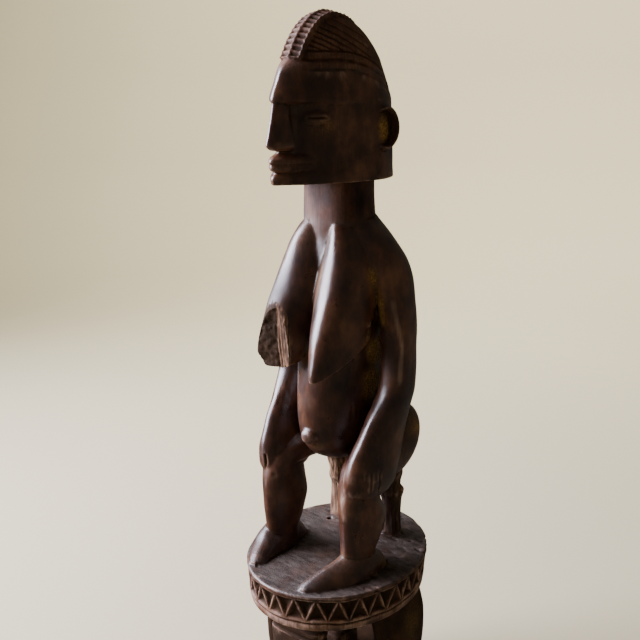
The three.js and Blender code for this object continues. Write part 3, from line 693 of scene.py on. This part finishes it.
def hills(spots, size, seed):
    """Smooth random heights from -1 to 1, size millimetres across; size may differ by direction."""
    p = spots / np.array(size, float) + 31.7 * seed
    cell = np.floor(p).astype(np.int64)
    f = p - cell
    f = f * f * (3 - 2 * f)
    total = np.zeros(len(p))
    for corner in np.ndindex(2, 2, 2):
        a, b, c = (cell + corner).T
        h = (a * 73856093) ^ (b * 19349663) ^ (c * 83492791)
        h = (h * 1103515245 + 12345) & 0x7FFFFFFF
        h = (h ^ (h >> 13)) * 1274126177 & 0x7FFFFFFF
        weight = np.where(corner, f, 1 - f).prod(axis=1)
        total += weight * (h / 0x3FFFFFFF - 1)
    return total


def ease(value):
    value = np.clip(value, 0, 1)
    return value * value * (3 - 2 * value)


def distance_to(spots, route):
    """Distance of each corner from a route of points."""
    far = np.full(len(spots), 1e3)
    route = np.array(route, float)
    close = np.all((spots > route.min(0) - 8) & (spots < route.max(0) + 8), axis=1)
    part = spots[close]
    best = np.full(len(part), 1e3)
    for a, b in zip(route, route[1:]):
        way = b - a
        t = np.clip(((part - a) @ way) / max(way @ way, 1e-9), 0, 1)
        best = np.minimum(best, np.linalg.norm(part - a - t[:, None] * way, axis=1))
    far[close] = best
    return far


def groove(spots, route, half_width, depth, taper=0.12):
    """How deep each corner sinks in a V groove that runs out shallow at both ends."""
    route = np.array(route, float)
    sunk = depth * ease(1 - distance_to(spots, route) / half_width)
    length = np.linalg.norm(route[-1] - route[0])
    ends = np.minimum(*(np.linalg.norm(spots - end, axis=1) for end in (route[0], route[-1])))
    return sunk * np.clip(0.25 + ends / max(taper * length, 1e-6), 0, 1)


def head_route(side, places):
    """A smooth route on the head through places given as (depth, height)."""
    return smooth_route([head_spot(side, depth, height)[0] for depth, height in places], 1.0)


def hair_edge(depth):
    return HAIR_EDGE + 4 - 0.0068 * np.maximum(depth + 30, 0) ** 2


def crest_edge(height):
    section = section_at(HEAD, height)
    sharp = section["sharp"]
    share = min(CREST_HALF_WIDTH / section["wide"], 1)
    return section["y"] - (section["y"] - section["front"]) * (1 - share**sharp) ** (1 / sharp)


LOCK_SLOPE = 0.6
LOCKS = 7


def hair(spots):
    """Rim of the hair, two raised lines with a sunk band between them, and slanting locks above."""
    sunk = np.zeros(len(spots))
    for side in (1, -1):
        for below, width, depth in ((-2.2, 1.8, 1.5), (4.6, 2.8, 1.3), (11.5, 2.2, 0.8)):
            places = [(y, hair_edge(y) - below) for y in np.linspace(-57, 44 - max(below, 0), 14)]
            sunk = np.maximum(sunk, groove(spots, head_route(side, places), width, depth))
        for top in np.linspace(464, 444.2, LOCKS):
            start = crest_edge(top)
            depths = [y for y in np.linspace(start, 3, 60)
                      if top - LOCK_SLOPE * (y - start) > hair_edge(y) + 2.4]
            places = [(y, top - LOCK_SLOPE * (y - start)) for y in np.linspace(start, depths[-1], 8)]
            sunk = np.maximum(sunk, groove(spots, head_route(side, places), 1.35, 1.5, taper=0.05))
        for below, width in ((0.9, 1.5), (9.0, 1.4)):
            places = [(y, hair_edge(y) - below) for y in np.linspace(-60, 44 - below, 14)]
            sunk -= groove(spots, head_route(side, places), width, 0.8)
    knife = 0.75 + 0.45 * hills(spots, (6, 6, 3), 41)
    return sunk * np.clip(knife, 0.35, 1.2)


# The zigzag band. Depths below the top of the seat, and how deep the pockets of each sort go.
POCKET_PAIRS = 28
POCKET_WIDTH = 19.0
POCKET_TOP = 4.6
POCKET_FOOT = 24.6
POINT_UP_DEPTH = 4.6
POINT_DOWN_DEPTH = 3.2
LOWER_LINE = 27.6
UPPER_LINE = 3.3


def edge_share(spots):
    """How far out each corner is on the seat: one at the edge of the oval."""
    return np.hypot(spots[:, 0] / SEAT_HALF_WIDTH, spots[:, 1] / SEAT_HALF_LENGTH)


def zigzag(spots):
    """Triangular pockets around the edge of the seat, point up and point down by turns."""
    turn = np.arctan2(spots[:, 1] / SEAT_HALF_LENGTH, spots[:, 0] / SEAT_HALF_WIDTH)
    table = np.linspace(-math.pi, math.pi, 721)
    step = np.hypot(SEAT_HALF_WIDTH * np.sin(table), SEAT_HALF_LENGTH * np.cos(table))
    run = np.r_[0, np.cumsum((step[1:] + step[:-1]) / 2)]
    beat = np.interp(turn, table, run / run[-1]) * POCKET_PAIRS
    down = SEAT_TOP - spots[:, 2]
    on_edge = edge_share(spots) > 0.9
    at_edge = on_edge & (down > 2.5) & (down < 27)
    # The carver's hand: each pocket a little wider, lower or deeper than the next
    beat = beat + 0.11 * hills(spots, (21, 21, 400), 21)
    down = down + 1.1 * hills(spots, (15, 15, 400), 22)
    share = (down - POCKET_TOP) / (POCKET_FOOT - POCKET_TOP)
    sunk = np.zeros(len(spots))
    for shift, flip, depth in ((0.0, False, POINT_UP_DEPTH), (0.5, True, POINT_DOWN_DEPTH)):
        across = np.abs((beat + shift) % 1 - 0.5) * POCKET_WIDTH
        level = 1 - share if flip else share
        side_room = ((1 - level) * (POCKET_WIDTH / 2 - 0.9) - across) * 0.9
        flat_room = level * (POCKET_FOOT - POCKET_TOP) - 0.3
        room = np.minimum(side_room, flat_room) + 0.35 * hills(spots, (4, 4, 4), 23)
        hand = 1 + 0.35 * hills(spots, (17, 17, 60), 24)
        sunk = np.maximum(sunk, depth * hand * np.clip(room / 3.4, 0, 1) ** 0.85)
    lower = 1.3 * ease(1 - np.abs(down - LOWER_LINE) / 1.5)
    upper = 0.5 * ease(1 - np.abs(down - UPPER_LINE) / 1.1)
    return at_edge * sunk + on_edge * (lower + upper)


def near(own, place, size):
    """One at a place on the woman, falling to nothing at a distance of size in each direction."""
    away = (own - np.array(place, float)) / np.array(size, float)
    return ease(1.4 - 1.4 * np.linalg.norm(away, axis=1))


def on_post(own):
    x, y, height = own.T
    inside = (np.abs(np.abs(x) - POST_X) < 15) & (np.abs(y - POST_Y + 3) < 17) & (height < 76)
    return inside * ease((height - 1) / 4)


SCRATCHES = 9


def small_cuts(own):
    """Fingers, cracks, chips, scratches and rough work: how deep each corner sinks."""
    x, y, height = own.T
    sunk = np.zeros(len(own))
    for side in (1, -1):
        for start, end in (((56.3, -36, 103), (56, -35, 82)), ((60.8, -28.5, 103), (59.8, -28, 80)),
                           ((63.6, -19.5, 102), (61, -18, 78))):
            route = [(side * start[0], *start[1:]), (side * end[0], *end[1:])]
            sunk = np.maximum(sunk, groove(own, route, 1.7, 0.8, taper=0.3))
    crack = smooth_route([(-44.6, -43, 94), (-43.4, -43.5, 87), (-44.2, -43.5, 80)], 1)
    sunk = np.maximum(sunk, groove(own, crack, 1.6, 3.4, taper=0.2))
    for place, size, depth in (((-35.5, -41.5, 76), (4, 3, 3), 0.7), ((-34, 40, 0), (3, 3.5, 4), 3.0),
                               ((52, 50, 0), (4, 3, 3), 1.3), ((67, 40, 0), (5, 3, 3), 1.4),
                               ((60, 30, 0), (3, 5, 3), 0.8), ((-31, -72, 2), (3, 3, 3), 1.2)):
        sunk += depth * near(own, place, size)
    sunk -= groove(own, [(33, 37, 0), (43, 33, 0), (54, 29, 0)], 2.6, 1.0)
    for k in range(SCRATCHES):
        start = np.array((-12 + 3.1 * k, -9 - 1.9 * k + 2 * (k % 3), 0.0))
        sunk += groove(own, [start, start + (3.4 + k % 2, 5.2 + k % 3, 0)], 0.9, 0.55)
    sunk += on_post(own) * (1.5 * hills(own, (3, 3, 30), 5) + 0.9 * hills(own, (7, 7, 11), 6))
    on_disc = (np.abs(height) < 3.5) * (x + 0.6 * y > 38)
    knots = 0.9 * hills(own, (11, 4.5, 9), 9) + 0.5 * hills(own, (5, 2.6, 9), 10)
    sunk += on_disc * np.maximum(knots, -0.5)
    side_of_body = (np.abs(np.abs(x) - 37) < 11) & (np.abs(y - 7) < 29) & (np.abs(height - 175) < 47)
    sunk += side_of_body * (0.55 * hills(own, (4, 4, 7), 7) + 0.25 * hills(own, (2.2, 2.2, 4), 8))
    return sunk


def drop_crumbs(piece):
    """Deletes the tiny closed bubbles that joining the forms leaves inside the wood."""
    highest = int(np.argmax(corners_of(piece)[:, 2]))
    bpy.ops.object.mode_set(mode="EDIT")
    bpy.ops.mesh.select_mode(type="VERT")
    bpy.ops.mesh.select_all(action="DESELECT")
    bpy.ops.object.mode_set(mode="OBJECT")
    piece.data.vertices[highest].select = True
    bpy.ops.object.mode_set(mode="EDIT")
    bpy.ops.mesh.select_linked()
    bpy.ops.mesh.select_all(action="INVERT")
    bpy.ops.mesh.delete(type="VERT")
    bpy.ops.object.mode_set(mode="OBJECT")


def carve_figure():
    """Every form joined into one skin, then carved, and its corners thinned out."""
    forms = [
        torso(), navel(), breast(1, drop=0, spread=0, round_ridge=1.75, lean=8), broken_breast(),
        limb("head", HEAD, around=120, step=1.6), crest(), nose(), mouth(),
        lower_leg(1, calf=8, shin=0), lower_leg(-1, calf=0, shin=2.5),
        foot(1, heel_x=45, toe_x=26, toe_y=-80), foot(-1, heel_x=46, toe_x=36, toe_y=-72),
        post(1, neck=2.5), post(-1, neck=0.5), seat(), front_support(), middle_block(), base(),
    ]
    for side in (1, -1):
        forms += [arm(side), thigh(side), ear(side), eye(side), side_support(side)]
    bpy.ops.object.select_all(action="DESELECT")
    for form in forms:
        form.select_set(True)
    bpy.context.view_layer.objects.active = forms[0]
    bpy.ops.object.join()
    figure = bpy.context.object
    figure.name = "carved_figure"
    apply_modifier(figure, "REMESH", mode="VOXEL", voxel_size=VOXEL / 1000, adaptivity=0)
    apply_modifier(figure, "SMOOTH", factor=0.5, iterations=4)
    drop_crumbs(figure)

    # Breasts and shoulders run softly into the body
    spots, links = corners_of(figure), links_of(figure)
    own = own_places(spots)
    soft = near(own, (0, -38, 225), (60, 60, 95)) * (own[:, 1] < -14)
    for side in (1, -1):
        soft = np.maximum(soft, near(own, (side * 33, -8, 278), (26, 26, 48)))
    spots = evened(spots, links, 14, 0.5 * soft[:, None])
    move_corners(figure, spots)

    ways = facings_of(figure)
    own = own_places(spots)
    sunk = hair(spots) + zigzag(spots) + small_cuts(own)
    for side in (1, -1):
        spot, along, out = eye_frame(side)
        slit = [spot + out * 3 + along * t for t in (-EYE_HALF_WIDTH, 0, EYE_HALF_WIDTH)]
        sunk = np.maximum(sunk, groove(spots, slit, 1.3, 1.5))
    sunk += 0.3 * hills(spots, (13, 13, 22), 1) + 0.13 * hills(spots, (5, 5, 9), 2)
    spots = spots - ways * sunk[:, None]
    spots = carve_break(spots)

    low, high = np.array(cad_low) * 1000, np.array(cad_high) * 1000
    move_corners(figure, np.clip(spots, low, high))
    apply_modifier(figure, "DECIMATE", ratio=MOST_TRIANGLES / (2 * len(figure.data.polygons)))
    bpy.ops.object.shade_smooth()
    return figure


def carve_break(spots):
    """Takes the last wood off the broken breast, along its underside, down to two rough faces."""
    own = own_places(spots)
    at_tip = (own[:, 0] < -2) & (own[:, 2] > 150) & (own[:, 2] < 262) & (own[:, 1] < -34)
    x, y, height = own[at_tip].T
    rise = math.tan(UNDER_SLOPE)
    over = broken_face(x, height) - y
    over = np.maximum(over, 0) / (1 + rise * math.tan(BREAK_TILT))
    cut = over > 0
    y, height = y + over, height + over * rise
    valley = valley_at(height)
    place = np.stack([x, np.zeros_like(y), height], axis=1)
    chipped = 1.1 * hills(place, (4.5, 1, 4.5), 11) + 0.6 * hills(place, (2.2, 1, 2.2), 12)
    split = 0.9 * hills(place, (1.7, 1, 40), 13) + 0.5 * hills(place, (3.4, 1, 22), 14)
    y = y + np.where(cut, 0.5 + np.where(x < valley, chipped, split), 0)
    own[at_tip] = np.stack([x, y, height], axis=1)
    return own + FIGURE_PLACE + [0, 0, SEAT_TOP]


# Wear, dirt, painted shade and painted light on the carved skin. Each spot has a place on the woman, a
# size and a strength.
OCHRE_AND_PAINTED_LIGHT_SPOTS = (
    ((43, -8, 262), (9, 9, 14), 0.8), ((49, -3, 244), (7, 8, 14), 1.2),
    ((50, 0, 228), (7, 8, 9), 1.1), ((42, -14, 212), (10, 12, 10), 0.8),
    ((35, 13, 195), (8, 16, 18), 1.4), ((33, 8, 165), (8, 16, 20), 1.3),
    ((52, 50, 118), (14, 24, 18), 0.7), ((-52, 50, 118), (14, 24, 18), 0.6),
    ((6, -27, 290), (9, 9, 16), 0.5), ((9, -32, 262), (6, 8, 24), 0.7),
    ((11, -38, 238), (5, 8, 20), 0.6), ((8, -34, 112), (16, 12, 7), 0.2),
    ((43, 8, 380), (9, 11, 13), 1.3), ((-43, 8, 380), (9, 11, 13), 1.3),
    ((75, 20, -62), (6, 20, 30), 0.9), ((-75, 4, -60), (6, 20, 26), 0.6),
    ((56, -2, 4), (11, 10, 9), 0.6), ((64, -2, 0), (9, 12, 4), 0.6),
    # The two spots at the backs of the thighs are ochre and painted light: made stronger to stand in for
    # warm light from behind
    ((40, 84, 44), (30, 44, 40), 0.6), ((-40, 84, 44), (30, 44, 40), 0.45),
    ((28, 20, 165), (8, 20, 40), 0.3), ((-34, 10, 185), (9, 18, 34), 0.7),
    ((28, -52, 385), (16, 18, 14), 0.45), ((-28, -52, 385), (16, 18, 14), 0.45),
)

# Ridges that hands have rubbed light: from, to, and how wide
RUBBED_RIDGES = (
    ((40.6, -39.5, 100), (40.4, -41.8, 75), 3.4), ((40.4, -41.8, 75), (43, -42.5, 60), 3),
    ((60.5, -1.2, 242), (66.7, 4.2, 206), 2.2), ((66.7, 4.2, 206), (66, 3.5, 174), 2.2),
    ((-30.5, -42, 30), (-31, -44, 66), 3),
)


def paint(figure, name, amount):
    layer = figure.data.attributes.new(name, "FLOAT", "POINT")
    layer.data.foreach_set("value", np.clip(amount, 0, 1).astype(np.float32))


def paint_wear_shade_and_light(figure):
    """Paints how rubbed, dirty, broken, grey, ochre and dull the wood is at each corner, and where shade
    and light are painted.
    """
    spots, links, ways = corners_of(figure), links_of(figure), facings_of(figure)
    own = own_places(spots)
    x, y, height = own.T
    fine = np.einsum("ij,ij->i", spots - evened(spots, links, 6, 0.6), ways)
    broad = np.einsum("ij,ij->i", spots - evened(spots, links, 30, 0.6), ways)
    rub = 0.5 + 0.5 * hills(spots, (9, 9, 14), 31)
    speck = 0.5 + 0.5 * hills(spots, (2.6, 2.6, 4), 32)
    worn = ease((fine - 0.26) / 0.3) * (0.35 + 0.65 * rub)
    # Creases and broad hollows are painted dark: dirt in the creases, painted shade in the broad hollows
    dirt_and_painted_shade = ease((-fine - 0.12) / 0.35) + 0.4 * ease((-broad - 0.6) / 1.2)

    at_tip = (x < -2) & (height > 160) & (height < 250)
    on_face = np.abs(y - broken_face(x, height) - 0.6) < 2.4
    broken = at_tip * on_face * ease((-ways[:, 1] - 0.1) / 0.25)
    valley = valley_at(height)
    raw = broken * np.where(x < valley, 0.03, 0.5)
    raw += on_post(own) * np.where(x < 0, 1.1, 0.1) * (0.5 + 0.5 * rub)
    raw += 0.6 * near(own, (-44, -43, 86), (4, 8, 11)) * speck

    on_top = (np.abs(height) < 4) & (ways[:, 2] > 0.75)
    grey = on_top * (0.35 + 0.65 * ease(1.5 * rub - 0.25))
    grey += 0.35 * ease((ways[:, 2] - 0.4) / 0.4) * (height < 30) * (height > -5)

    ochre_and_painted_light = np.zeros(len(own))
    for place, size, strength in OCHRE_AND_PAINTED_LIGHT_SPOTS:
        ochre_and_painted_light += strength * near(own, place, size)
    ochre_and_painted_light = 1.25 * ochre_and_painted_light * (0.25 + 0.75 * ease(1.6 * rub - 0.3)) + 0.25 * dirt_and_painted_shade * rub
    band = (edge_share(spots) > 0.9) * (height < -1) * (height > SEAT_UNDER - 1)
    in_hair = ease((height - HAIR_FOOT) / 6)
    worn = worn * (1 - 0.6 * in_hair)
    worn += 0.3 * in_hair * ease((fine + 0.06) / 0.12) * (0.3 + 0.7 * rub)
    worn += 0.8 * band * ease((fine - 0.06) / 0.16) * (0.1 + 0.9 * rub) * rub
    worn += 0.3 * near(own, (-14, -26, 305), (22, 22, 34))
    worn += 0.25 * near(own, (-27, -34, 190), (10, 14, 40))
    for start, end, wide in RUBBED_RIDGES:
        worn += 0.85 * ease(1.3 - distance_to(own, [start, end]) / wide) * (0.25 + 0.75 * speck)
    paint(figure, "worn", worn * (0.55 + 0.6 * speck) * (1 - 0.8 * broken))
    # Painted shade in the zigzag pockets
    dirt_and_painted_shade += 0.95 * band * (height > -30) * ease((zigzag(spots) - 0.5) / 1.6)
    # Painted shade: everything below the seat is painted darker
    dirt_and_painted_shade += (height < SEAT_UNDER - 3) * (0.6 + 0.4 * rub)
    # Painted shade on the near post; the left broken face is painted dark too
    paint(figure, "dirt_and_painted_shade", dirt_and_painted_shade + broken * (x < valley) + 0.6 * on_post(own) * (x > 0))
    paint(figure, "raw", raw)
    paint(figure, "grey", grey)
    paint(figure, "ochre_and_painted_light", ochre_and_painted_light)
    on_neck = ease((height - NECK_FOOT) / 12) * ease((NECK_TOP - height) / 3)
    on_neck *= np.hypot(x, y - 9) < 34
    dull = in_hair * (0.7 + 0.3 * rub) + 0.8 * on_neck + 0.6 * (height < -2)
    dull += 0.3 * (x > 10) * (height > NECK_TOP - 6) * (height < HAIR_FOOT)
    dull += 0.45 * near(own, (-24, -44, 236), (18, 34, 44))
    paint(figure, "dull", dull)


# Finish
def add_node(tree, kind, **settings):
    made = tree.nodes.new("ShaderNode" + kind)
    for name, value in settings.items():
        setattr(made, name, value)
    return made


def ramp(tree, stops):
    made = tree.nodes.new("ShaderNodeValToRGB")
    bar = made.color_ramp
    while len(bar.elements) < len(stops):
        bar.elements.new(0.5)
    for element, (place, colour) in zip(bar.elements, stops):
        element.position = place
        element.color = (*colour, 1)
    return made


def mix(tree, factor, first, second, blend="MIX"):
    made = tree.nodes.new("ShaderNodeMix")
    made.data_type = "RGBA"
    made.blend_type = blend
    for number, value in ((0, factor), (6, first), (7, second)):
        socket = made.inputs[number]
        if isinstance(value, bpy.types.NodeSocket):
            tree.links.new(value, socket)
        elif number:
            socket.default_value = (*value, 1)
        else:
            socket.default_value = value
    return made.outputs[2]


def patinated_wood():
    wood = bpy.data.materials.new("patinated_wood")
    wood.use_nodes = True
    tree = wood.node_tree
    link = tree.links.new
    shader = tree.nodes["Principled BSDF"]
    place = add_node(tree, "TexCoord").outputs["Object"]

    def stretched(scale):
        mapping = add_node(tree, "Mapping")
        mapping.inputs["Scale"].default_value = scale
        link(place, mapping.inputs["Vector"])
        return mapping.outputs["Vector"]

    def clouds(scale, detail, rough, vector=place):
        made = add_node(tree, "TexNoise")
        made.inputs["Scale"].default_value = scale
        made.inputs["Detail"].default_value = detail
        made.inputs["Roughness"].default_value = rough
        link(vector, made.inputs["Vector"])
        return made.outputs["Fac"]

    def painted(name):
        return add_node(tree, "Attribute", attribute_name=name).outputs["Fac"]

    def shade(value, *stops):
        made = ramp(tree, stops)
        link(value, made.inputs["Fac"])
        return made.outputs["Color"]

    def sums(operation, first, second):
        made = add_node(tree, "Math", operation=operation)
        made.use_clamp = True
        for socket, value in zip(made.inputs, (first, second)):
            if isinstance(value, bpy.types.NodeSocket):
                link(value, socket)
            else:
                socket.default_value = value
        return made.outputs["Value"]

    grain_run = stretched((1, 1, 0.06))
    patches = clouds(30, 5, 0.6)
    grain = clouds(700, 5, 0.6, grain_run)
    pores = clouds(1500, 3, 0.6, stretched((1, 1, 0.12)))
    specks = clouds(600, 4, 0.65)
    end_grain = clouds(300, 6, 0.7, stretched((0.3, 1, 1)))

    # Patina: dark brown with redder patches, streaked along the grain
    colour = shade(patches, (0.3, (0.014, 0.0048, 0.0025)), (0.5, (0.034, 0.0122, 0.006)),
                   (0.72, (0.08, 0.034, 0.015)))
    streaks = shade(grain, (0.32, (0.6, 0.6, 0.6)), (0.66, (1.3, 1.25, 1.2)))
    colour = mix(tree, 0.4, colour, streaks, "MULTIPLY")
    smears = shade(clouds(120, 5, 0.65, stretched((1, 1, 0.45))),
                   (0.34, (0.58, 0.55, 0.52)), (0.64, (1.42, 1.34, 1.26)))
    colour = mix(tree, 0.8, colour, smears, "MULTIPLY")
    ochre_dust = shade(specks, (0.3, (0.05, 0.026, 0.008)), (0.7, (0.3, 0.18, 0.052)))
    patchy = shade(specks, (0.25, (0.25,) * 3), (0.6, (0.85,) * 3))
    # Ochre, and painted light at the backs of the thighs
    colour = mix(tree, sums("MULTIPLY", painted("ochre_and_painted_light"), patchy), colour, ochre_dust)
    dust = shade(end_grain, (0.34, (0.007, 0.0048, 0.0038)), (0.66, (0.075, 0.06, 0.051)))
    colour = mix(tree, sums("MULTIPLY", painted("grey"), 0.8), colour, dust)
    # Near-black dirt, also used as painted shade in broad hollows, zigzag pockets, under the seat and on
    # the near post
    dirt_and_shade_tone = mix(tree, 0.04, (0.007, 0.0038, 0.0022), ochre_dust)
    colour = mix(tree, sums("MULTIPLY", painted("dirt_and_painted_shade"), 0.85), colour, dirt_and_shade_tone)
    rubbed = shade(grain, (0.3, (0.12, 0.062, 0.042)), (0.7, (0.34, 0.22, 0.165)))
    colour = mix(tree, sums("MULTIPLY", painted("worn"), 0.8), colour, rubbed)
    fresh = shade(grain, (0.36, (0.028, 0.013, 0.007)), (0.5, (0.13, 0.069, 0.038)),
                  (0.64, (0.33, 0.2, 0.12)))
    colour = mix(tree, painted("raw"), colour, fresh)
    link(colour, shader.inputs["Base Color"])

    # Handled wood shines; dust, dirt, painted shade and broken wood are dull
    gloss = shade(clouds(70, 6, 0.65), (0.3, (0.26,) * 3), (0.7, (0.42,) * 3))
    for name, roughness in (("worn", 0.5), ("dull", 0.7), ("dirt_and_painted_shade", 0.75), ("grey", 0.5),
                            ("ochre_and_painted_light", 0.75), ("raw", 0.9)):
        gloss = mix(tree, painted(name), gloss, (roughness,) * 3)
    link(gloss, shader.inputs["Roughness"])
    matte = sums("MULTIPLY", painted("grey"), 0.4)
    for name in ("dull", "dirt_and_painted_shade", "raw", "ochre_and_painted_light"):
        matte = sums("ADD", matte, painted(name))
    link(shade(matte, (0, (0.5,) * 3), (1, (0.1,) * 3)), shader.inputs["Specular IOR Level"])

    rough = sums("ADD", sums("MULTIPLY", painted("raw"), 0.8), sums("MULTIPLY", painted("grey"), 0.6))
    relief = sums("ADD", sums("MULTIPLY", grain, 0.5), sums("MULTIPLY", pores, 0.3))
    bump = add_node(tree, "Bump")
    bump.inputs["Strength"].default_value = 0.3
    bump.inputs["Distance"].default_value = 0.0006
    link(relief, bump.inputs["Height"])
    deep = add_node(tree, "Bump")
    deep.inputs["Distance"].default_value = 0.0016
    link(rough, deep.inputs["Strength"])
    splinters = sums("ADD", sums("MULTIPLY", grain, 0.6), sums("MULTIPLY", end_grain, 0.4))
    link(splinters, deep.inputs["Height"])
    link(bump.outputs["Normal"], deep.inputs["Normal"])
    link(deep.outputs["Normal"], shader.inputs["Normal"])
    return wood


set_camera()
set_lights()
make_floor()
figure = carve_figure()
paint_wear_shade_and_light(figure)
figure.data.materials.clear()
figure.data.materials.append(patinated_wood())
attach(figure, "root")
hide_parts("caryatid_figure")
